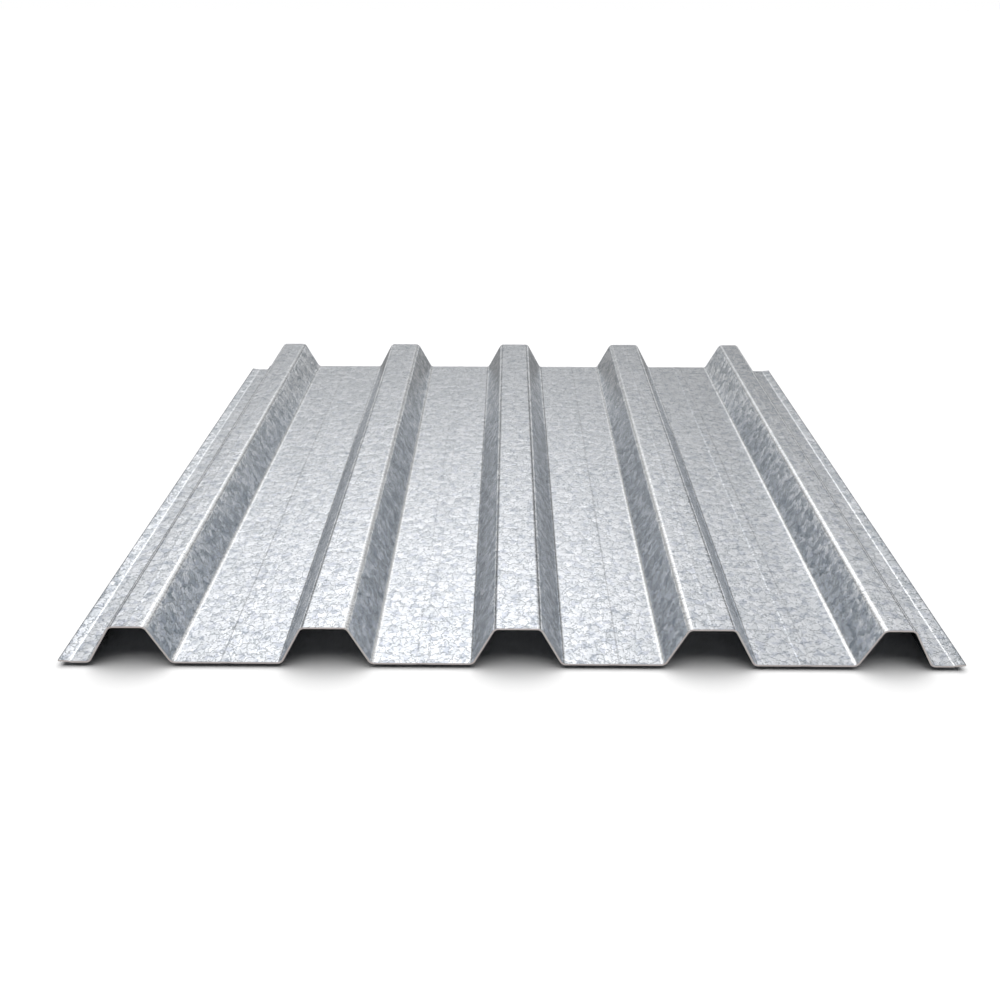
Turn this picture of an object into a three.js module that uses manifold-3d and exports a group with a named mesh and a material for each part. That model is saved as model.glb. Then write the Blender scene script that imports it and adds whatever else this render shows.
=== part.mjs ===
// Trapezoidal profiled steel sheet: one piece, roll-formed from galvanised strip.
//
// Millimetres. +X runs across the ribs, +Y along them and +Z up. The origin is the
// middle of the sheet's plan, on the plane that the pans lie on.
//
// The section is drawn as a folded line through the middle of the strip's thickness.
// Every fold gets its bend radius, half the gauge is laid off on each side of the line,
// and the outline is extruded to the cut length.

import * as THREE from 'three';
import { mergeVertices } from 'three/addons/utils/BufferGeometryUtils.js';
import Module from 'manifold-3d';

const wasm = await Module();
wasm.setup();

// ---- Strip ---------------------------------------------------------------------

const gauge = 1.8;
const cutLength = 900;

// ---- Ribs and pans, measured along the folded line -------------------------------

const ribDepth = 39;
const innerRibCount = 3;
const innerRib = { crest: 43.5, leftRun: 21, rightRun: 21 };
const ribPitch = 183;

// The two edge ribs are narrower, because one laps over the other on the next sheet.
const overlapRib = { crest: 34, leftRun: 24, rightRun: 21 };
const underlapRib = { crest: 28.5, leftRun: 21, rightRun: 21.5 };
const overlapPanWidth = 105;

// ---- Stiffeners ------------------------------------------------------------------

const panBead = { width: 12.5, height: 0.7, sideRun: 1.5 };
const crestRidge = { width: 4, height: 0.2 };

// ---- Side-lap flanges --------------------------------------------------------------

const overlapFlangeWidth = 29.5;
const underlapFlangeWidth = 32;
// Each flange steps up and then slopes up to its tip, so that the next sheet slides over it.
const lipStep = { width: 2, rise: 0.5 };
const lip = { width: 10, rise: 1 };

// Both flanges stop short of the far end, so that four sheets can meet at a lap corner.
const cornerNotch = { length: 19, clearOfRib: 5 };

// ---- Bends -----------------------------------------------------------------------

const ribBendRadius = 5;
const creaseRadius = 0.6;
const facetAngle = THREE.MathUtils.degToRad(12);

// Points of a mesh nearer to each other than this are one point of the solid.
const mergeDistance = 1e-4;

// ---- Folded line -----------------------------------------------------------------

/** Folds of the section from the overlap tip to the underlap tip, each { x, z, radius }. */
function foldSection() {
  const folds = [];
  let x = 0;

  function foldAfter(run, z, radius) {
    x += run;
    folds.push({ x, z, radius });
  }

  function addRib({ crest, leftRun, rightRun }, lead) {
    const shoulder = (crest - crestRidge.width) / 2;
    foldAfter(lead, 0, ribBendRadius);
    foldAfter(leftRun, ribDepth, ribBendRadius);
    foldAfter(shoulder, ribDepth, creaseRadius);
    foldAfter(crestRidge.width / 2, ribDepth + crestRidge.height, creaseRadius);
    foldAfter(crestRidge.width / 2, ribDepth, creaseRadius);
    foldAfter(shoulder, ribDepth, ribBendRadius);
    foldAfter(rightRun, 0, ribBendRadius);
  }

  // Adds the bead in the middle of a pan, and returns the flat that is left after it.
  function addBead(panWidth) {
    const margin = (panWidth - panBead.width) / 2;
    foldAfter(margin, 0, creaseRadius);
    foldAfter(panBead.sideRun, panBead.height, creaseRadius);
    foldAfter(panBead.width - 2 * panBead.sideRun, panBead.height, creaseRadius);
    foldAfter(panBead.sideRun, 0, creaseRadius);
    return margin;
  }

  const panWidth = ribPitch - innerRib.crest - innerRib.leftRun - innerRib.rightRun;

  foldAfter(0, lipStep.rise + lip.rise, 0);
  foldAfter(lip.width, lipStep.rise, creaseRadius);
  foldAfter(lipStep.width, 0, creaseRadius);
  addRib(overlapRib, overlapFlangeWidth - lip.width - lipStep.width);
  let flat = addBead(overlapPanWidth);
  for (let i = 0; i < innerRibCount; i += 1) {
    addRib(innerRib, flat);
    flat = addBead(panWidth);
  }
  addRib(underlapRib, flat);
  foldAfter(underlapFlangeWidth - lip.width - lipStep.width, 0, creaseRadius);
  foldAfter(lipStep.width, lipStep.rise, creaseRadius);
  foldAfter(lip.width, lipStep.rise + lip.rise, 0);
  return folds;
}

// ---- From folds to a solid ---------------------------------------------------------

/** Points on the folded line with the line's upward normal, stepping round each bend. */
function stationsAlong(folds) {
  const points = folds.map(({ x, z }) => new THREE.Vector2(x, z));
  const lastFold = folds.length - 1;
  const stations = [];

  function directionFrom(index) {
    return points[index + 1].clone().sub(points[index]).normalize();
  }

  function upwardNormal(direction) {
    return new THREE.Vector2(-direction.y, direction.x);
  }

  stations.push({ point: points[0], normal: upwardNormal(directionFrom(0)) });
  for (let i = 1; i < lastFold; i += 1) {
    const before = directionFrom(i - 1);
    const after = directionFrom(i);
    const turn = Math.atan2(before.cross(after), before.dot(after));
    const side = Math.sign(turn);
    const lineRadius = folds[i].radius + gauge / 2;
    const firstNormal = upwardNormal(before);
    const bendStart = points[i].clone().addScaledVector(before, -lineRadius * Math.tan(Math.abs(turn) / 2));
    const centre = bendStart.clone().addScaledVector(firstNormal, side * lineRadius);
    const steps = Math.ceil(Math.abs(turn) / facetAngle);
    for (let k = 0; k <= steps; k += 1) {
      const normal = firstNormal.clone().rotateAround(new THREE.Vector2(), (turn * k) / steps);
      const point = centre.clone().addScaledVector(normal, -side * lineRadius);
      stations.push({ point, normal });
    }
  }
  stations.push({ point: points[lastFold], normal: upwardNormal(directionFrom(lastFold - 1)) });
  return stations;
}

/** The strip's closed outline: its upper face, then its lower face back again. */
function stripOutline(folds) {
  const stations = stationsAlong(folds);
  const upper = stations.map(({ point, normal }) => point.clone().addScaledVector(normal, gauge / 2));
  const lower = stations.map(({ point, normal }) => point.clone().addScaledVector(normal, -gauge / 2));
  return new THREE.Shape([...lower, ...upper.reverse()]);
}

/** Extrudes the section along +Y, centred on the origin, with its pans resting on z = 0. */
function extrudeSection(folds) {
  const sheetWidth = folds[folds.length - 1].x;
  const geometry = new THREE.ExtrudeGeometry(stripOutline(folds), {
    depth: cutLength,
    bevelEnabled: false,
  });
  geometry.rotateX(Math.PI / 2);
  geometry.translate(-sheetWidth / 2, cutLength / 2, gauge / 2);
  return geometry;
}

/** A block that takes a flange's far corner off, from past its tip in to innerX. */
function notchBlock(tipX, innerX) {
  const margin = lip.width;
  const outerX = tipX + Math.sign(tipX) * margin;
  const block = new THREE.BoxGeometry(Math.abs(outerX - innerX), cornerNotch.length + margin, ribDepth);
  block.translate((outerX + innerX) / 2, (cutLength - cornerNotch.length + margin) / 2, 0);
  return block;
}

// ---- Booleans --------------------------------------------------------------------

function toManifold(geometry) {
  const bare = geometry.clone();
  bare.deleteAttribute('normal');
  bare.deleteAttribute('uv');
  const merged = mergeVertices(bare, mergeDistance);
  return new wasm.Manifold(new wasm.Mesh({
    numProp: 3,
    vertProperties: new Float32Array(merged.attributes.position.array),
    triVerts: new Uint32Array(merged.index.array),
  }));
}

function fromManifold(solid) {
  const mesh = solid.getMesh();
  const geometry = new THREE.BufferGeometry();
  geometry.setAttribute('position', new THREE.BufferAttribute(mesh.vertProperties, 3));
  geometry.setIndex(new THREE.BufferAttribute(mesh.triVerts, 1));
  geometry.computeVertexNormals();
  return geometry;
}

// ---- Sheet -------------------------------------------------------------------------

function makeSheet() {
  const folds = foldSection();
  const halfWidth = folds[folds.length - 1].x / 2;
  const overlapNotchX = -halfWidth + overlapFlangeWidth - cornerNotch.clearOfRib;
  const underlapNotchX = halfWidth - underlapFlangeWidth + cornerNotch.clearOfRib;
  const notches = [
    notchBlock(-halfWidth, overlapNotchX),
    notchBlock(halfWidth, underlapNotchX),
  ];
  const blank = toManifold(extrudeSection(folds));
  const cut = notches.reduce((solid, block) => solid.subtract(toManifold(block)), blank);
  return fromManifold(cut);
}

const galvanisedSteel = new THREE.MeshStandardMaterial({
  color: new THREE.Color(0.66, 0.68, 0.7),
  roughness: 0.42,
  metalness: 0.9,
});

const sheet = new THREE.Mesh(makeSheet(), galvanisedSteel);
sheet.name = 'profiled_sheet';

const part = new THREE.Group();
part.add(sheet);

export default part;
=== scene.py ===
# %% [markdown]
# # A trapezoidal profiled sheet in hot-dip galvanised steel
#
# A profiled sheet starts as flat strip off a coil. The strip is dipped in molten zinc, which
# freezes on it in a skin of small crystals, and then a row of rollers folds it into ribs and pans.
# So the model is made in the same order: a flat strip folded edge by edge, and a zinc pattern that
# is laid out on the flat strip and goes round the folds with it.
#
# The CAD sheet gives the place and the size. Its bends are faceted and its faces dead flat, so a
# finer sheet, folded on the same lines, takes its place.

# %% The CAD frame
import math

import bpy
import numpy as np
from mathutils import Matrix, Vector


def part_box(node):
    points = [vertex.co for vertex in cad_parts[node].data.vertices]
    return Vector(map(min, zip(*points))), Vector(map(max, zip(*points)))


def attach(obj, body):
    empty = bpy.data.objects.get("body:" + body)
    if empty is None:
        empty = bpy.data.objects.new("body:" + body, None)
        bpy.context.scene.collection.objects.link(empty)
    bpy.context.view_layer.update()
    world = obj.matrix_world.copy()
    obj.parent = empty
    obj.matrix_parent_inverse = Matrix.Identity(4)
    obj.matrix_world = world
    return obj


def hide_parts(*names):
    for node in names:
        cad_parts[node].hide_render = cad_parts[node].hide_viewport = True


MM = 0.001

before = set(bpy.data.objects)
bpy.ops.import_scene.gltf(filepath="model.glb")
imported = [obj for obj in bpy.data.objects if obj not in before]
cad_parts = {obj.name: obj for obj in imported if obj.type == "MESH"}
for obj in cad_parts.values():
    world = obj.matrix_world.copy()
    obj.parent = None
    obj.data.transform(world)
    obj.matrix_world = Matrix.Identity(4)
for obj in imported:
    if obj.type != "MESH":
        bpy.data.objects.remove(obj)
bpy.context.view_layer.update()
sheet_low, sheet_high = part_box("profiled_sheet")
print("CAD nodes:", sorted(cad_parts))
print("CAD sheet from", tuple(sheet_low), "to", tuple(sheet_high))

# %% [markdown]
# ## The section
#
# These are the sizes of the rolled section, along the middle of the strip's thickness. A rib is
# given by how far its left side, its crest and its right side run across the sheet. The two edge
# ribs are narrower than the inner ones and differ from each other, so that one can lap over the
# other.
#
# The pans' beads and the crests' ridges are lower than in the CAD sheet. Their sides then mirror
# almost what the flats mirror, and show as fine lines, as they do on a sheet that is seen from a
# few steps away.

# %% Sizes of the section
GAUGE = 1.8 * MM
RIB_DEPTH = 39 * MM
RIB_PITCH = 183 * MM

INNER_RIB = (21 * MM, 43.5 * MM, 21 * MM)
OVERLAP_RIB = (24 * MM, 34 * MM, 21 * MM)
UNDERLAP_RIB = (21 * MM, 28.5 * MM, 21.5 * MM)
INNER_RIB_COUNT = 3
OVERLAP_PAN = 105 * MM
INNER_PAN = RIB_PITCH - sum(INNER_RIB)

BEAD_WIDTH = 12.5 * MM
BEAD_HEIGHT = 0.2 * MM
BEAD_SIDE = 1.5 * MM
RIDGE_WIDTH = 4 * MM
RIDGE_HEIGHT = 0.1 * MM

OVERLAP_FLANGE = 29.5 * MM
UNDERLAP_FLANGE = 32 * MM
STEP_WIDTH = 2 * MM
STEP_RISE = 0.5 * MM
LIP_WIDTH = 10 * MM
LIP_RISE = 1 * MM

RIB_BEND = 5 * MM
CREASE = 0.6 * MM
print("an inner pan is", round(INNER_PAN / MM, 1), "mm wide")

# %% [markdown]
# ## A walk across the section
#
# The section could be drawn as one long list of corners. It is written as a walk instead, because
# then a size is changed in one place and all that lies beyond it moves along. A walk is a list of
# steps. Each step says how far the next fold lies across the sheet, how high it is above the last
# one, and which of the two bend radii it has.

# %% Steps of the walk
def rib_walk(left_run, crest, right_run):
    """Steps over a rib, from its left foot to its right foot, with the ridge on its crest."""
    shoulder = (crest - RIDGE_WIDTH) / 2
    return [
        (left_run, RIB_DEPTH, RIB_BEND),
        (shoulder, 0, CREASE),
        (RIDGE_WIDTH / 2, RIDGE_HEIGHT, CREASE),
        (RIDGE_WIDTH / 2, -RIDGE_HEIGHT, CREASE),
        (shoulder, 0, RIB_BEND),
        (right_run, -RIB_DEPTH, RIB_BEND),
    ]


def pan_walk(width):
    """Steps across a pan, from rib foot to rib foot, over the raised bead in its middle."""
    flat = (width - BEAD_WIDTH) / 2
    return [
        (flat, 0, CREASE),
        (BEAD_SIDE, BEAD_HEIGHT, CREASE),
        (BEAD_WIDTH - 2 * BEAD_SIDE, 0, CREASE),
        (BEAD_SIDE, -BEAD_HEIGHT, CREASE),
        (flat, 0, RIB_BEND),
    ]


overlap_flat = OVERLAP_FLANGE - LIP_WIDTH - STEP_WIDTH
underlap_flat = UNDERLAP_FLANGE - LIP_WIDTH - STEP_WIDTH
walk = [(LIP_WIDTH, -LIP_RISE, CREASE), (STEP_WIDTH, -STEP_RISE, CREASE)]
walk += [(overlap_flat, 0, RIB_BEND)]
walk += rib_walk(*OVERLAP_RIB) + pan_walk(OVERLAP_PAN)
for _ in range(INNER_RIB_COUNT):
    walk += rib_walk(*INNER_RIB) + pan_walk(INNER_PAN)
walk += rib_walk(*UNDERLAP_RIB)
walk += [(underlap_flat, 0, CREASE), (STEP_WIDTH, STEP_RISE, CREASE), (LIP_WIDTH, LIP_RISE, CREASE)]

section_width = sum(run for run, _, _ in walk)
strip_left = -section_width / 2
strip_right = -strip_left
fold_x = strip_left + np.cumsum([run for run, _, _ in walk])
print(len(walk), "flats across", round(section_width / MM, 1), "mm")

# %% [markdown]
# ## Operators on one piece
#
# Every operator works on what is selected, and loading the frame leaves its nodes selected. These
# helpers take one piece into edit mode with nothing selected, and then pick edges or faces by where
# they are, which is what a hand would do with the mouse.

# %% Selection helpers
TINY = 0.01 * MM


def only(piece):
    """Makes the piece the one selected and active object."""
    bpy.ops.object.select_all(action="DESELECT")
    piece.select_set(True)
    bpy.context.view_layer.objects.active = piece


def pick(piece, kind, test):
    """Enters edit mode with only the edges or faces that pass the test selected."""
    bpy.ops.object.mode_set(mode="EDIT")
    bpy.ops.mesh.select_mode(type=kind)
    bpy.ops.mesh.select_all(action="DESELECT")
    bpy.ops.object.mode_set(mode="OBJECT")
    corners = [vertex.co for vertex in piece.data.vertices]
    elements = piece.data.edges if kind == "EDGE" else piece.data.polygons
    for element in elements:
        element.select = bool(test([corners[index] for index in element.vertices]))
    bpy.ops.object.mode_set(mode="EDIT")


def along(ends):
    """True for an edge that runs along the sheet, as a fold does."""
    return abs(ends[0].x - ends[1].x) < TINY


# %% [markdown]
# ## Fold the strip
#
# A plane is the first flat, the left lip. Its right edge is then extruded once for each flat of the
# section, as the strip would be folded on a brake. A curve swept along the sheet would give the
# same section, but here each fold stays a straight line that can be selected and rounded, one kind
# at a time.

# %% Flats
sheet_length = sheet_high[1] - sheet_low[1]
middle_z = sheet_low[2] + GAUGE / 2
first_run, first_rise, _ = walk[0]

bpy.ops.object.select_all(action="DESELECT")
bpy.ops.mesh.primitive_plane_add(size=1)
sheet = bpy.context.active_object
sheet.name = "folded_sheet"
only(sheet)
bpy.ops.object.mode_set(mode="EDIT")
bpy.ops.transform.resize(value=(first_run, sheet_length, 1))
bpy.ops.transform.translate(value=(strip_left + first_run / 2, 0, middle_z + STEP_RISE + LIP_RISE))
pick(sheet, "EDGE", lambda ends: along(ends) and ends[0].x > strip_left + TINY)
bpy.ops.transform.translate(value=(0, 0, first_rise))
for run, rise, _ in walk[1:]:
    bpy.ops.mesh.extrude_region_move(TRANSFORM_OT_translate={"value": (run, 0, rise)})
bpy.ops.object.mode_set(mode="OBJECT")
print(len(sheet.data.polygons), "flats folded")

# %% [markdown]
# ## Round the folds
#
# Rollers leave a radius at each fold. A bevel of the fold line makes it: the arc starts at a
# setback of the radius times the tangent of half the fold's angle, on each side of the line. The
# big bends get eight segments, because they carry the bright lines that a formed sheet shows.

# %% Bend radii
RIB_BEND_SEGMENTS = 8
CREASE_SEGMENTS = 3
ROUND_PROFILE = 0.5

# Folds that have the same setback, to a tenth of a micrometre, are rounded in one go.
SETBACK_DIGITS = 7

slopes = [math.atan2(rise, run) for run, rise, _ in walk]
folds_by_setback = {}
for index in range(len(walk) - 1):
    radius = walk[index][2]
    turn = abs(slopes[index + 1] - slopes[index])
    setback = (radius + GAUGE / 2) * math.tan(turn / 2)
    kind = (round(setback, SETBACK_DIGITS), radius)
    folds_by_setback.setdefault(kind, []).append(fold_x[index])

for (setback, radius), places in folds_by_setback.items():
    pick(sheet, "EDGE", lambda ends: along(ends) and min(abs(ends[0].x - x) for x in places) < TINY)
    bpy.ops.mesh.bevel(
        offset_type="OFFSET",
        offset=setback,
        segments=RIB_BEND_SEGMENTS if radius == RIB_BEND else CREASE_SEGMENTS,
        profile=ROUND_PROFILE,
    )
bpy.ops.object.mode_set(mode="OBJECT")
print(len(folds_by_setback), "kinds of fold rounded")

# %% [markdown]
# ## Rows along the sheet, and the corner notches
#
# Cuts across the folds give the flats points along their length, to rise and dip on. Both flanges
# stop short of the far end, so that four sheets can meet at a lap corner without a lump. A boolean
# could cut these notches, but on a surface with no thickness it is simpler and cleaner to cut along
# their borders and delete the faces inside.

# %% Rows and notches
ROW_COUNT = 60
NOTCH_LENGTH = 19 * MM
NOTCH_TO_RIB = 5 * MM

notch_y = sheet_high[1] - NOTCH_LENGTH
left_notch_x = strip_left + OVERLAP_FLANGE - NOTCH_TO_RIB
right_notch_x = strip_right - UNDERLAP_FLANGE + NOTCH_TO_RIB

pick(sheet, "EDGE", along)
bpy.ops.mesh.subdivide(number_cuts=ROW_COUNT - 1)
for plane_co, plane_no in (
    ((0, notch_y, 0), (0, 1, 0)),
    ((left_notch_x, 0, 0), (1, 0, 0)),
    ((right_notch_x, 0, 0), (1, 0, 0)),
):
    bpy.ops.mesh.select_all(action="SELECT")
    bpy.ops.mesh.bisect(plane_co=plane_co, plane_no=plane_no)


def in_notch(corners):
    """True for a face of a flange that lies past the notch line."""
    past_line = min(corner.y for corner in corners) > notch_y - TINY
    on_left = max(corner.x for corner in corners) < left_notch_x + TINY
    on_right = min(corner.x for corner in corners) > right_notch_x - TINY
    return past_line and (on_left or on_right)


pick(sheet, "FACE", in_notch)
bpy.ops.mesh.delete(type="FACE")
bpy.ops.object.mode_set(mode="OBJECT")
print(len(sheet.data.polygons), "faces in the strip's middle surface")

# %% [markdown]
# ## Lay out the flat strip
#
# The zinc froze on flat strip, so its pattern has to follow the strip and not the folded shape. An
# unwrap would find nearly the same layout, but not at a known size. So the UV map is measured: U is
# the distance along the section and V the distance along the sheet, both in metres, and the
# material can work in real sizes.

# %% UV map of the flat strip
# Points within a micrometre of each other across the sheet are one column of the strip.
COLUMN_DIGITS = 6

points = np.array([vertex.co for vertex in sheet.data.vertices])
columns, column_of = np.unique(np.round(points[:, 0], COLUMN_DIGITS), return_inverse=True)
column_z = np.zeros(len(columns))
column_z[column_of] = points[:, 2]
steps = np.hypot(np.diff(columns), np.diff(column_z))
unrolled = np.concatenate([[0], np.cumsum(steps)])
strip_u = unrolled[column_of]

strip_map = sheet.data.uv_layers.new(name="strip")
loop_vertex = np.array([loop.vertex_index for loop in sheet.data.loops])
uv = np.stack([strip_u[loop_vertex], points[loop_vertex, 1]], axis=1)
strip_map.data.foreach_set("uv", uv.ravel())
print("flat strip is", round(unrolled[-1] / MM, 1), "mm wide")

# %% [markdown]
# ## Where the rollers rub
#
# The rollers form the middle rib first and draw the rest of the strip in towards it. So each other
# rib is dragged over the rollers on its inner side, and the zinc beside those two bends is rubbed
# smooth and bright. The small step in each lip is rubbed bright too. Cuts beside these places give
# the sheet edges to hold the bands, and one more by each slit edge holds a dark line of painted
# shade along the rim, which stands for the shadow under the lip's outer edge.

# %% Rubbed bands and the cuts that hold them
RUB_WIDTH = 2.8 * MM
RUB_FADE = 3.2 * MM
STEP_FADE = 1.6 * MM
# Width of the dark line of painted shade at each slit edge, which stands for the shadow under the
# lip.
EDGE_SHADE_WIDTH = 1.6 * MM

rubbed_bands = []
cuts = [strip_left + EDGE_SHADE_WIDTH, strip_right - EDGE_SHADE_WIDTH]
for index, (run, rise, _) in enumerate(walk):
    left_fold, right_fold = fold_x[index] - run, fold_x[index]
    side_is_inner = rise * (left_fold + right_fold) > 0
    if abs(rise) == STEP_RISE:
        step = (left_fold + right_fold) / 2
        rubbed_bands += [(step, step, STEP_FADE)]
        cuts += [step - STEP_FADE, step, step + STEP_FADE]
    elif abs(rise) == RIB_DEPTH and side_is_inner and abs(left_fold + right_fold) > RIB_PITCH:
        rubbed_bands += [(left_fold - RUB_WIDTH, left_fold, RUB_FADE)]
        rubbed_bands += [(right_fold, right_fold + RUB_WIDTH, RUB_FADE)]
        reaches = (-RUB_FADE, RUB_WIDTH, RUB_WIDTH + RUB_FADE)
        cuts += [left_fold - reach for reach in reaches] + [right_fold + reach for reach in reaches]

for cut in cuts:
    pick(sheet, "FACE", lambda corners: True)
    bpy.ops.mesh.bisect(plane_co=(cut, 0, 0), plane_no=(1, 0, 0))
bpy.ops.object.mode_set(mode="OBJECT")
print(len(rubbed_bands), "rubbed bands,", len(cuts), "cuts to hold them")

# %% [markdown]
# ## Four kinds of place
#
# The finish depends on where on the sheet it is. That could be painted by hand as a mask, but the
# places are known to the millimetre, so the mesh carries them as four attributes: rubbed, bent (on
# every rib bend), steep (on the ribs' sides) and one at the strip's two slit edges, where a line of
# painted shade goes. Each is 1 there and 0 elsewhere. A bend is 1 within 2 mm of its fold and 0
# where its arc ends, about 3.5 mm away.

# %% Attributes
BEND_REACH = 2 * MM
BEND_END = (RIB_BEND + GAUGE / 2) * math.tan(max(slopes) / 2)

points = np.array([vertex.co for vertex in sheet.data.vertices])
x, z = points[:, 0], points[:, 2]

rubbed = np.zeros(len(points))
for start, end, fade in rubbed_bands:
    past_border = np.minimum(x - start, end - x)
    rubbed = np.maximum(rubbed, np.clip(1 + past_border / fade, 0, 1))

off_level = np.minimum(z - middle_z, middle_z + RIB_DEPTH - z)
bent = np.zeros(len(points))
for index in range(len(walk) - 1):
    if walk[index][2] == RIB_BEND:
        off_fold = np.hypot(x - fold_x[index], off_level)
        bent = np.maximum(bent, np.clip((BEND_END - off_fold) / (BEND_END - BEND_REACH), 0, 1))
bent *= 1 - rubbed

steep = np.clip(off_level / BEND_REACH, 0, 1)
# The slit edges get a dark line of painted shade, which stands for the shadow under the lips.
edge_shade = (np.abs(x) > strip_right - TINY).astype(float)

for name, values in {"rubbed": rubbed, "bent": bent, "steep": steep, "edge_shade": edge_shade}.items():
    sheet.data.attributes.new(name, "FLOAT", "POINT").data.foreach_set("value", values)
    print(name, "on", int((values > 0).sum()), "of", len(points), "points")

# %% [markdown]
# ## Oil canning
#
# Strip never comes off the rollers dead flat. The wide flats between the folds rise and dip a
# little, here by up to 0.06 mm, and it shows as slow changes in what they mirror. A bump in the
# material could fake it, but a real wave also shows in the exported mesh. A soft noise lifts the
# middle of each pan and lets the middle of each crest down, so the sheet stays in its box and the
# folds, which are stiff, stay straight.

# %% Slow waves in the flats
WAVE_LENGTH = 140 * MM
WAVE_HEIGHT = 0.06 * MM
WIDE_FLAT = 12 * MM

flat_pans = sheet.vertex_groups.new(name="flat_pans")
flat_crests = sheet.vertex_groups.new(name="flat_crests")
wide_count = 0
for index, (run, rise, _) in enumerate(walk):
    if rise != 0 or run < WIDE_FLAT:
        continue
    start = fold_x[index] - run
    on_flat = (x > start) & (x < fold_x[index])
    group = flat_crests if z[on_flat].mean() > RIB_DEPTH / 2 else flat_pans
    for vertex in np.nonzero(on_flat)[0]:
        share = (x[vertex] - start) / run
        group.add([int(vertex)], math.sin(math.pi * share) ** 2, "REPLACE")
    wide_count += 1

waves = bpy.data.textures.new("slow_waves", type="CLOUDS")
waves.noise_scale = WAVE_LENGTH
for group, strength in ((flat_pans, WAVE_HEIGHT), (flat_crests, -WAVE_HEIGHT)):
    lift = sheet.modifiers.new(f"waves_{group.name}", "DISPLACE")
    lift.texture = waves
    lift.texture_coords = "LOCAL"
    lift.direction = "Z"
    lift.mid_level = 0
    lift.strength = strength
    lift.vertex_group = group.name
print(wide_count, "wide flats that wave")

# %% [markdown]
# ## Thickness and cut edges
#
# Solidify lays half the gauge off on each side of the middle surface, and gives the rim a second
# material, because a cut edge shows bare steel. A second skin could be extruded by hand, but its
# bends would come out uneven. A fine bevel breaks the sharp arris that the shear leaves, so that it
# can catch the light.

# %% Gauge and arris
ARRIS = 0.2 * MM
ARRIS_SEGMENTS = 2
ARRIS_ANGLE = math.radians(60)

wall = sheet.modifiers.new("gauge", "SOLIDIFY")
wall.thickness = GAUGE
wall.offset = 0
wall.use_even_offset = True
wall.material_offset_rim = 1
arris = sheet.modifiers.new("arris", "BEVEL")
arris.width = ARRIS
arris.segments = ARRIS_SEGMENTS
arris.limit_method = "ANGLE"
arris.angle_limit = ARRIS_ANGLE
arris.offset_type = "OFFSET"
print("modifiers in order:", [modifier.name for modifier in sheet.modifiers])

# %% [markdown]
# ## Materials
#
# Colours are written as sRGB hex, which one function turns to the linear values that the nodes
# need. One more function adds a node with its settings and its links. In its list of inputs, a node
# stands for that node's first output. A node that mixes colours takes them at inputs 6 and 7 and
# gives the result at output 2, because its lower numbers are for mixing numbers and vectors.

# %% Node helpers
FIRST_COLOUR = 6
SECOND_COLOUR = 7
MIXED = 2


def linear(hex_colour):
    """The linear RGBA of an sRGB hex colour such as "a1b2c3"."""
    channels = [int(hex_colour[i : i + 2], 16) / 255 for i in (0, 2, 4)]
    curve = [c / 12.92 if c <= 0.04045 else ((c + 0.055) / 1.055) ** 2.4 for c in channels]
    return (*curve, 1)


def add(tree, kind, inputs=(), **settings):
    """Adds a node, sets its options, and links or sets each input in the list of pairs."""
    node = tree.nodes.new(kind)
    for name, value in settings.items():
        setattr(node, name, value)
    for socket, value in inputs:
        if isinstance(value, bpy.types.Node):
            value = value.outputs[0]
        if isinstance(value, bpy.types.NodeSocket):
            tree.links.new(value, node.inputs[socket])
        else:
            node.inputs[socket].default_value = value
    return node


def new_material(name):
    """A new node material with nothing in it, and its node tree."""
    material = bpy.data.materials.new(name)
    material.use_nodes = True
    material.node_tree.nodes.clear()
    return material, material.node_tree


# %% [markdown]
# ## Galvanised steel, hot-dipped before it was rolled
#
# Zinc is bare metal, so the sheet's look is all in what it mirrors. The skin froze on the strip in
# grains, and forming then changed it. An image of zinc would repeat and bring its own light with
# it, and a noise on Object coordinates would smear down the ribs' sides. So the grains are drawn in
# millimetres on the flat strip's own UV map, where they run round the bends unbroken. They are a
# little longer along the rolling direction. A small warp bends the straight borders that drawn
# cells would have.

# %% The strip in millimetres
STRETCH = 1.15
PATCH = 5.0
WARP = 9.0
NOISE_MIDDLE = (0.5, 0.5, 0.5)

NOISE_2D = {"noise_dimensions": "2D"}
CELLS_2D = {"voronoi_dimensions": "2D"}
SMOOTH = {"interpolation_type": "SMOOTHSTEP"}

galvanised, tree = new_material("galvanised_steel")
strip = add(tree, "ShaderNodeUVMap", uv_map="strip")
per_mm = (1 / MM, 1 / MM / STRETCH, 0)
in_mm = add(tree, "ShaderNodeVectorMath", [(0, strip), (1, per_mm)], operation="MULTIPLY")

patch_inputs = [("Vector", in_mm), ("Scale", 1 / PATCH), ("Detail", 1)]
wobble = add(tree, "ShaderNodeTexNoise", patch_inputs, **NOISE_2D).outputs["Color"]
centre_inputs = [(0, wobble), (1, NOISE_MIDDLE)]
wobble = add(tree, "ShaderNodeVectorMath", centre_inputs, operation="SUBTRACT")
warp_inputs = [(0, wobble), (1, (WARP, WARP, 0)), (2, in_mm)]
warped = add(tree, "ShaderNodeVectorMath", warp_inputs, operation="MULTIPLY_ADD")
print("grains are", STRETCH, "times as long as wide")

# %% [markdown]
# ## Grains and grooves
#
# There are coarse grains of about 13 mm among fine ones of about 7 mm. Where two grains meet there
# is a thin grey groove, which shows on some stretches of the rim and fades out on others. A Voronoi
# texture gives both: its cells are the grains, and its distance to a cell's edge draws the groove.
# One noise in patches of 5 mm picks the grooves: coarse ones show where it is high, and fine ones
# where it is low.

# %% Grains and grooves
COARSE_GRAIN = 13.0
FINE_GRAIN = 7.0
COARSE_GROOVE = 0.9
FINE_GROOVE = 0.7
SHOWN_LOW = 0.42
SHOWN_HIGH = 0.55

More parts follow.
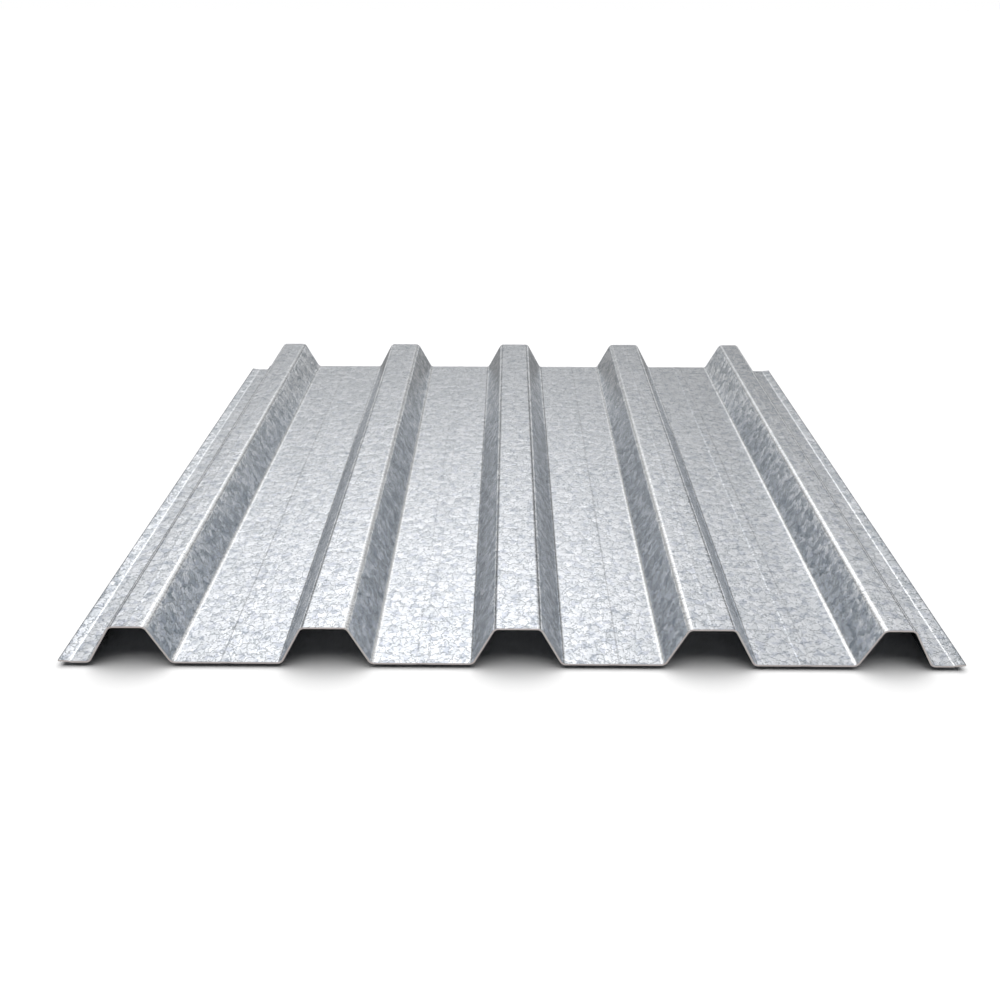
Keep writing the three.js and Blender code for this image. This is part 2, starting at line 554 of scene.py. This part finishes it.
shown = add(tree, "ShaderNodeTexNoise", patch_inputs, **NOISE_2D)
coarse_inputs = [("Value", shown), ("From Min", SHOWN_LOW), ("From Max", SHOWN_HIGH)]
coarse_shown = add(tree, "ShaderNodeMapRange", coarse_inputs, **SMOOTH)
fine_inputs = [("Value", shown), ("From Min", SHOWN_HIGH), ("From Max", SHOWN_LOW)]
fine_shown = add(tree, "ShaderNodeMapRange", fine_inputs, **SMOOTH)


def grains(size, groove, visible):
    """Grains of one size: their cells, and the part of their rims that shows as a groove."""
    inputs = [("Vector", warped), ("Scale", 1 / size)]
    cell = add(tree, "ShaderNodeTexVoronoi", inputs, **CELLS_2D)
    rim = add(tree, "ShaderNodeTexVoronoi", inputs, feature="DISTANCE_TO_EDGE", **CELLS_2D)
    line_inputs = [("Value", rim), ("From Min", groove / size), ("From Max", 0)]
    line = add(tree, "ShaderNodeMapRange", line_inputs, **SMOOTH)
    return cell, add(tree, "ShaderNodeMath", [(0, line), (1, visible)], operation="MULTIPLY")


coarse, coarse_groove = grains(COARSE_GRAIN, COARSE_GROOVE, coarse_shown)
fine, fine_groove = grains(FINE_GRAIN, FINE_GROOVE, fine_shown)
grooves = add(tree, "ShaderNodeMath", [(0, coarse_groove), (1, fine_groove)], operation="MAXIMUM")
print("grains of", COARSE_GRAIN, "and", FINE_GRAIN, "mm")

# %% [markdown]
# ## What the rollers did to the skin
#
# The bands that the rollers rubbed have lost their grain, and their borders are ragged. A band
# alone would have a ruled border, so a noise is added to it before its edge is drawn. The same
# noise makes the fine cracks on the bends. Its marks are 6 mm long across a fold and 2.4 mm wide
# along it. It lies mostly between 0.4 and 0.6, which sets where a band begins to show and where it
# is full. All of this is livelier toward one end of the strip.

# %% Rubbed and bent skin
CRAZE_LENGTH = 6.0
CRAZE_WIDTH = 2.4
CRAZE_LOW = 0.4
CRAZE_HIGH = 0.6
RAGGED = 1.3
HALF_RUBBED = 0.5
LIVELY_END = 390
LIVELY_LEAST = 0.4

craze_scale = (1 / CRAZE_LENGTH, 1 / CRAZE_WIDTH, 0)
place_inputs = [(0, in_mm), (1, craze_scale)]
craze_place = add(tree, "ShaderNodeVectorMath", place_inputs, operation="MULTIPLY")
craze_inputs = [("Vector", craze_place), ("Scale", 1), ("Detail", 1)]
craze = add(tree, "ShaderNodeTexNoise", craze_inputs, **NOISE_2D)

place = add(tree, "ShaderNodeSeparateXYZ", [(0, in_mm)])
lively_inputs = [("Value", place.outputs[1]), ("From Min", -LIVELY_END), ("From Max", LIVELY_END)]
lively_inputs += [("To Min", 1), ("To Max", LIVELY_LEAST)]
lively = add(tree, "ShaderNodeMapRange", lively_inputs)

rubbed_here = add(tree, "ShaderNodeAttribute", attribute_name="rubbed").outputs["Fac"]
ragged_inputs = [(0, craze), (1, RAGGED), (2, rubbed_here)]
ragged = add(tree, "ShaderNodeMath", ragged_inputs, operation="MULTIPLY_ADD")
rub_inputs = [("Value", ragged), ("From Min", HALF_RUBBED + CRAZE_LOW * RAGGED)]
rub_inputs += [("From Max", 1 + CRAZE_HIGH * RAGGED)]
rubbed_here = add(tree, "ShaderNodeMapRange", rub_inputs, **SMOOTH)
rubbed_here = add(tree, "ShaderNodeMath", [(0, rubbed_here), (1, lively)], operation="MULTIPLY")

bent_here = add(tree, "ShaderNodeAttribute", attribute_name="bent").outputs["Fac"]
bent_here = add(tree, "ShaderNodeMath", [(0, bent_here), (1, lively)], operation="MULTIPLY")
steep_here = add(tree, "ShaderNodeAttribute", attribute_name="steep").outputs["Fac"]
# Where the painted shade line at the slit edges goes.
edge_shade_here = add(tree, "ShaderNodeAttribute", attribute_name="edge_shade").outputs["Fac"]
print("craze marks of", CRAZE_LENGTH, "by", CRAZE_WIDTH, "mm")

# %% [markdown]
# ## Relief
#
# Each grain sinks a little toward its rim, by the square of the distance from its middle, and the
# grooves are cut a little deeper. It would take millions of faces to model that, so it is a bump in
# the material. On real zinc it is a few hundredths of a millimetre, which would not show from here,
# so the bump is set about ten times as deep. The ribs' sides are stretched, and their grains stand
# out in full. The flats have less than half of that, the rollers press it down on the bends, and it
# is gone where they rubbed. A second bump is for the cracks and the scuffs.

# %% Relief
RELIEF = 0.55 * MM
CRAZE_RELIEF = 0.4 * MM
GROOVE_DEPTH = 0.3
FINE_SHARE = 0.5
FLAT_RELIEF = 0.45
PRESSED_OUT = 0.7
BEND_CRAZE = 0.5

coarse_fall = add(tree, "ShaderNodeMath", [(0, coarse), (1, coarse)], operation="MULTIPLY")
fine_fall = add(tree, "ShaderNodeMath", [(0, fine), (1, fine)], operation="MULTIPLY")
fall_inputs = [(0, fine_fall), (1, FINE_SHARE), (2, coarse_fall)]
falls = add(tree, "ShaderNodeMath", fall_inputs, operation="MULTIPLY_ADD")
sunk_inputs = [(0, grooves), (1, GROOVE_DEPTH), (2, falls)]
sunk = add(tree, "ShaderNodeMath", sunk_inputs, operation="MULTIPLY_ADD")

unrubbed = add(tree, "ShaderNodeMath", [(0, 1.0), (1, rubbed_here)], operation="SUBTRACT")
relief = add(tree, "ShaderNodeMath", [(0, unrubbed), (1, lively)], operation="MULTIPLY")
steep_inputs = [(0, steep_here), (1, 1 - FLAT_RELIEF), (2, FLAT_RELIEF)]
steepness = add(tree, "ShaderNodeMath", steep_inputs, operation="MULTIPLY_ADD")
relief = add(tree, "ShaderNodeMath", [(0, relief), (1, steepness)], operation="MULTIPLY")
pressed_inputs = [(0, bent_here), (1, -PRESSED_OUT), (2, 1.0)]
pressed = add(tree, "ShaderNodeMath", pressed_inputs, operation="MULTIPLY_ADD")
relief = add(tree, "ShaderNodeMath", [(0, relief), (1, pressed)], operation="MULTIPLY")
bump_inputs = [("Strength", relief), ("Distance", RELIEF), ("Height", sunk)]
bump = add(tree, "ShaderNodeBump", bump_inputs, invert=True)

scuff_inputs = [(0, bent_here), (1, BEND_CRAZE), (2, rubbed_here)]
scuffed = add(tree, "ShaderNodeMath", scuff_inputs, operation="MULTIPLY_ADD")
crack_inputs = [("Strength", scuffed), ("Distance", CRAZE_RELIEF)]
crack_inputs += [("Height", craze), ("Normal", bump)]
bump = add(tree, "ShaderNodeBump", crack_inputs)
print("relief set to", round(RELIEF / MM, 2), "mm, craze to", round(CRAZE_RELIEF / MM, 2), "mm")

# %% [markdown]
# ## Tone and colour
#
# Each fine grain has its own tone, from bright zinc toward a blue grey, and more so on the ribs'
# sides. The grooves are of that grey, and some places have a lavender bloom. The rubbed bands are
# nearly white. Along the slit edges a dark grey is painted as shade, which stands for the shadow
# line under the lips' outer edges. Colour ramps could do this too, but mixes one over the other say
# which one lies on top.

# %% Tone and colour
BRIGHT_ZINC = "f5f7fb"
GROOVE_GREY = "6e7e87"
BLOOM = "99a2bb"
RUBBED_ZINC = "fcfdfe"
# Painted shade: the dark grey at the slit edges stands for the shadow line under the lips.
PAINTED_EDGE_SHADE = "3c4248"
GROOVE_TONE = 0.4
GRAIN_TONE = 0.22
STEEP_TONE = 0.29
EVEN_TONE = 0.06
BLOOM_PATCH = 9.0
BLOOM_START = 0.48
BLOOM_FULL = 0.7
BLOOM_MOST = 0.39

tone = add(tree, "ShaderNodeSeparateColor", [(0, fine.outputs["Color"])])
spread_inputs = [(0, steep_here), (1, STEEP_TONE), (2, GRAIN_TONE)]
spread = add(tree, "ShaderNodeMath", spread_inputs, operation="MULTIPLY_ADD")
tone_inputs = [(0, tone), (1, spread), (2, EVEN_TONE)]
dull = add(tree, "ShaderNodeMath", tone_inputs, operation="MULTIPLY_ADD")
dull_inputs = [(0, grooves), (1, GROOVE_TONE), (2, dull)]
dull = add(tree, "ShaderNodeMath", dull_inputs, operation="MULTIPLY_ADD")

bloom_noise = [("Vector", warped), ("Scale", 1 / BLOOM_PATCH), ("Detail", 2)]
bloom = add(tree, "ShaderNodeTexNoise", bloom_noise, **NOISE_2D)
bloom_most = add(tree, "ShaderNodeMath", [(0, lively), (1, BLOOM_MOST)], operation="MULTIPLY")
bloom_inputs = [("Value", bloom), ("From Min", BLOOM_START), ("From Max", BLOOM_FULL)]
bloom_inputs += [("To Max", bloom_most)]
bloom = add(tree, "ShaderNodeMapRange", bloom_inputs, **SMOOTH)

mix_inputs = [(0, bloom), (FIRST_COLOUR, linear(BRIGHT_ZINC)), (SECOND_COLOUR, linear(BLOOM))]
colour = add(tree, "ShaderNodeMix", mix_inputs, data_type="RGBA").outputs[MIXED]
# The last mix paints the shade line along the slit edges.
for share, over in ((dull, GROOVE_GREY), (rubbed_here, RUBBED_ZINC), (edge_shade_here, PAINTED_EDGE_SHADE)):
    mix_inputs = [(0, share), (FIRST_COLOUR, colour), (SECOND_COLOUR, linear(over))]
    colour = add(tree, "ShaderNodeMix", mix_inputs, data_type="RGBA").outputs[MIXED]
print("bloom in patches of", BLOOM_PATCH, "mm")

# %% [markdown]
# ## The zinc's shader
#
# Zinc is a metal, so Metallic is 1, its colour is that of its reflections, and the IOR keeps its
# default. New spangled zinc is half glossy, with a roughness of about 0.25. The pressed bends are
# glossier, which gives the thin bright line along each of them.

# %% Zinc shader
ZINC_ROUGHNESS = 0.25
BEND_ROUGHNESS = 0.08

gloss_inputs = [("Value", bent_here), ("To Min", ZINC_ROUGHNESS), ("To Max", BEND_ROUGHNESS)]
roughness = add(tree, "ShaderNodeMapRange", gloss_inputs)
zinc_inputs = [("Base Color", colour), ("Metallic", 1.0)]
zinc_inputs += [("Roughness", roughness), ("Normal", bump)]
zinc = add(tree, "ShaderNodeBsdfPrincipled", zinc_inputs)
add(tree, "ShaderNodeOutputMaterial", [("Surface", zinc)])
sheet.data.materials.append(galvanised)
print("galvanised steel:", len(tree.nodes), "nodes")

# %% [markdown]
# ## Sheared steel edge
#
# The shear cut through the zinc, so the cut edges show bare steel: pale, warm against the zinc and
# broken up by fine scores. The scores are far too fine to draw. What they give the eye is an edge
# that mirrors little and takes light from all sides, so it is rough and only in part metallic.

# %% Steel edge
CUT_STEEL = "e6dedb"
EDGE_METALLIC = 0.3
EDGE_ROUGHNESS = 0.5

cut_steel, tree = new_material("sheared_steel_edge")
edge_inputs = [("Base Color", linear(CUT_STEEL))]
edge_inputs += [("Metallic", EDGE_METALLIC), ("Roughness", EDGE_ROUGHNESS)]
edge = add(tree, "ShaderNodeBsdfPrincipled", edge_inputs)
add(tree, "ShaderNodeOutputMaterial", [("Surface", edge)])
sheet.data.materials.append(cut_steel)
print("materials on the sheet:", [material.name for material in sheet.data.materials])

# %% [markdown]
# ## Finish the piece
#
# The modifiers are applied in their order, so that the mesh itself is the finished sheet. The
# vertex groups that placed the waves have then done their work, and are cleared. Then the shading:
# faces that meet at less than 18 degrees are shaded as one smooth surface, which rounds the facets
# of the bends and keeps the cut edges crisp. Weighted normals follow the large faces, so the flats
# stay flat right up to the bends.

# %% Finish the piece
SMOOTH_ANGLE = math.radians(18)

only(sheet)
for modifier in list(sheet.modifiers):
    bpy.ops.object.modifier_apply(modifier=modifier.name)
sheet.vertex_groups.clear()
bpy.ops.object.shade_smooth_by_angle(angle=SMOOTH_ANGLE)
flats = sheet.modifiers.new("flats_stay_flat", "WEIGHTED_NORMAL")
flats.mode = "FACE_AREA"
flats.keep_sharp = True
bpy.ops.object.modifier_apply(modifier=flats.name)
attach(sheet, "root")
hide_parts("profiled_sheet")
triangles = sum(len(face.vertices) - 2 for face in sheet.data.polygons)
print("finished sheet:", triangles, "triangles")

# %% [markdown]
# ## Floor
#
# A white floor that keeps the sheet's shadow. To the camera it is plain white, a little over 1,
# because the lamp lights a white floor to less than white. Other rays find a mid grey, so that
# little light comes back up into the ribs. The sheet lies level. The floor is set 4 mm below it,
# because a real sheet never touches all along its front edge, and the gap draws the dark line under
# that edge.

# %% Floor
FLOOR_SIZE = 60
FLOOR_GAP = 4.2 * MM
FLOOR_WHITE = (1.25, 1.25, 1.25, 1)
FLOOR_GREY = (0.33, 0.33, 0.33, 1)

bpy.ops.mesh.primitive_plane_add(size=FLOOR_SIZE, location=(0, 0, -FLOOR_GAP))
floor = bpy.context.active_object
floor.name = "floor"
paper, tree = new_material("white_floor")
seen = add(tree, "ShaderNodeLightPath").outputs["Is Camera Ray"]
floor_mix = [(0, seen), (FIRST_COLOUR, FLOOR_GREY), (SECOND_COLOUR, FLOOR_WHITE)]
floor_colour = add(tree, "ShaderNodeMix", floor_mix, data_type="RGBA").outputs[MIXED]
matt = add(tree, "ShaderNodeBsdfDiffuse", [("Color", floor_colour)])
add(tree, "ShaderNodeOutputMaterial", [("Surface", matt)])
floor.data.materials.append(paper)
print("floor", round(FLOOR_GAP / MM, 1), "mm below the sheet")

# %% [markdown]
# ## What the metal mirrors
#
# The studio is a wide band of soft light half way up the walls, with a strip just above the horizon
# that the ribs' bends and sides pick up, and a key softbox in the middle. Lamps in the scene could
# do this, but each would also light the floor in a patch of its own. In the world, both lights are
# lists of levels at a few angles above the horizon, and a colour ramp draws each.

# %% Levels of the studio's light
WIDE_BAND = [(0, 0.8), (6, 1.05), (12, 0.26), (18, 0.06), (24, 0.7), (30, 0.92)]
WIDE_BAND += [(36, 1.0), (44, 0.35), (56, 0), (68, 0.15), (78, 0.5), (90, 0.6)]
KEY_LIGHT = [(0, 0), (12, 0), (18, 0.12), (24, 0.25)]
KEY_LIGHT += [(30, 0.4), (36, 0.95), (44, 1.0), (90, 0.3)]
ZENITH = 90

world = bpy.data.worlds.new("studio")
bpy.context.scene.world = world
world.use_nodes = True
tree = world.node_tree
tree.nodes.clear()
direction = add(tree, "ShaderNodeTexCoord").outputs["Generated"]
split = add(tree, "ShaderNodeSeparateXYZ", [(0, direction)])
elevation = add(tree, "ShaderNodeMath", [(0, split.outputs[2])], operation="ARCSINE")
share_inputs = [(0, elevation), (1, math.radians(ZENITH))]
elevation = add(tree, "ShaderNodeMath", share_inputs, operation="DIVIDE")


def levels_at(angle, stops):
    """The level of a light at an angle, given as a share of 90 degrees, from its list of levels."""
    profile = add(tree, "ShaderNodeValToRGB", [(0, angle)])
    elements = profile.color_ramp.elements
    while len(elements) < len(stops):
        elements.new(position=0.5)
    for element, (degrees, level) in zip(elements, stops):
        element.position = degrees / ZENITH
        element.color = (level, level, level, 1)
    return profile


key_level = levels_at(elevation, KEY_LIGHT)
band_level = levels_at(elevation, WIDE_BAND)
print("levels in the band:", len(WIDE_BAND), "and in the key:", len(KEY_LIGHT))

# %% [markdown]
# ## The key's width, and who sees the studio
#
# The key falls off on both sides of its middle, slowly at first and then quickly, as a softbox does
# that is brightest in its middle. Only the metal sees the two lights, in rays that have had no
# diffuse bounce, so they throw no light on the floor. The camera itself sees plain white.

# %% Studio
KEY_AZIMUTH = math.radians(-6)
KEY_HALF_WIDTH = math.radians(13)
KEY_FALL = -0.5
LESS_THAN_ONE = 0.5

forward = add(tree, "ShaderNodeMath", [(0, split.outputs[1])], operation="ABSOLUTE")
azimuth = add(tree, "ShaderNodeMath", [(0, split.outputs[0]), (1, forward)], operation="ARCTAN2")
aside = add(tree, "ShaderNodeMath", [(0, azimuth), (1, KEY_AZIMUTH)], operation="SUBTRACT")
aside = add(tree, "ShaderNodeMath", [(0, aside), (1, KEY_HALF_WIDTH)], operation="DIVIDE")
squared = add(tree, "ShaderNodeMath", [(0, aside), (1, aside)], operation="MULTIPLY")
fourth = add(tree, "ShaderNodeMath", [(0, squared), (1, squared)], operation="MULTIPLY")
fall_off = add(tree, "ShaderNodeMath", [(0, fourth), (1, KEY_FALL)], operation="MULTIPLY")
fall_off = add(tree, "ShaderNodeMath", [(0, fall_off)], operation="EXPONENT")
lights = [(0, key_level), (1, fall_off), (2, band_level)]
lights = add(tree, "ShaderNodeMath", lights, operation="MULTIPLY_ADD")

studio = add(tree, "ShaderNodeBackground", [("Color", lights)])
white = add(tree, "ShaderNodeBackground", [("Color", (1, 1, 1, 1))])
dark = add(tree, "ShaderNodeBackground", [("Color", (0, 0, 0, 1))])
path = add(tree, "ShaderNodeLightPath")
straight = [(0, path.outputs["Diffuse Depth"]), (1, LESS_THAN_ONE)]
straight = add(tree, "ShaderNodeMath", straight, operation="LESS_THAN")
mirrored = [(0, path.outputs["Is Glossy Ray"]), (1, straight)]
mirrored = add(tree, "ShaderNodeMath", mirrored, operation="MULTIPLY")
around = add(tree, "ShaderNodeMixShader", [(0, mirrored), (1, dark), (2, studio)])
backdrop = [(0, path.outputs["Is Camera Ray"]), (1, around), (2, white)]
backdrop = add(tree, "ShaderNodeMixShader", backdrop)
add(tree, "ShaderNodeOutputWorld", [("Surface", backdrop)])
print("studio:", len(tree.nodes), "nodes")

# %% [markdown]
# ## Lamps
#
# One lamp overhead lights the floor. It is so wide that the ribs' shadows have no hard line, and it
# leans from the back, so they fall a little toward the front. A weak lamp from the front lights the
# cut edges, which stand upright and would be dark. It is level, so it adds nothing to the floor.
# Area lamps would do as well, but they fade with distance, and a sun lights the whole floor evenly.

# %% Overhead lamp and front fill
LAMP_STRENGTH = 2.8
LAMP_TILT = math.radians(12)
LAMP_WIDTH = math.radians(92)
FILL_STRENGTH = 1.3

bpy.ops.object.light_add(type="SUN", rotation=(-LAMP_TILT, 0, 0))
lamp = bpy.context.active_object
lamp.name = "overhead_softbox"
lamp.data.energy = LAMP_STRENGTH
lamp.data.angle = LAMP_WIDTH
lamp.visible_glossy = False

bpy.ops.object.light_add(type="SUN", rotation=(math.pi / 2, 0, 0))
fill = bpy.context.active_object
fill.name = "front_fill"
fill.data.energy = FILL_STRENGTH
fill.data.angle = 0
fill.visible_glossy = False
print("lamps:", lamp.name, "and", fill.name)

# %% [markdown]
# ## Camera
#
# The camera stands in front of the sheet, above it, and looks down on it by 25 degrees, so that the
# ribs run away from the viewer. It could be aimed at a target, but then its place and its tilt
# would depend on each other. The focal length is given in pixels of a square image of 1000, and the
# sensor's width turns it into the lens's own length.

# %% Camera
FOCAL_PX = 1098.2
IMAGE_PX = 1000
CAMERA_PLACE = (-0.00373, -1.3316, 0.5869)
CAMERA_TILT = 0.43818
CAMERA_ROLL = -0.00118
CAMERA_YAW = 0.00816

camera_turn = (math.pi / 2 - CAMERA_TILT, CAMERA_ROLL, CAMERA_YAW)
bpy.ops.object.camera_add(location=CAMERA_PLACE, rotation=camera_turn)
camera = bpy.context.active_object
camera.data.lens = camera.data.sensor_width * FOCAL_PX / IMAGE_PX
bpy.context.scene.camera = camera
bpy.context.scene.view_settings.view_transform = "Standard"
print("lens", round(camera.data.lens, 1), "mm")
print("looking down by", round(math.degrees(CAMERA_TILT), 1), "degrees")
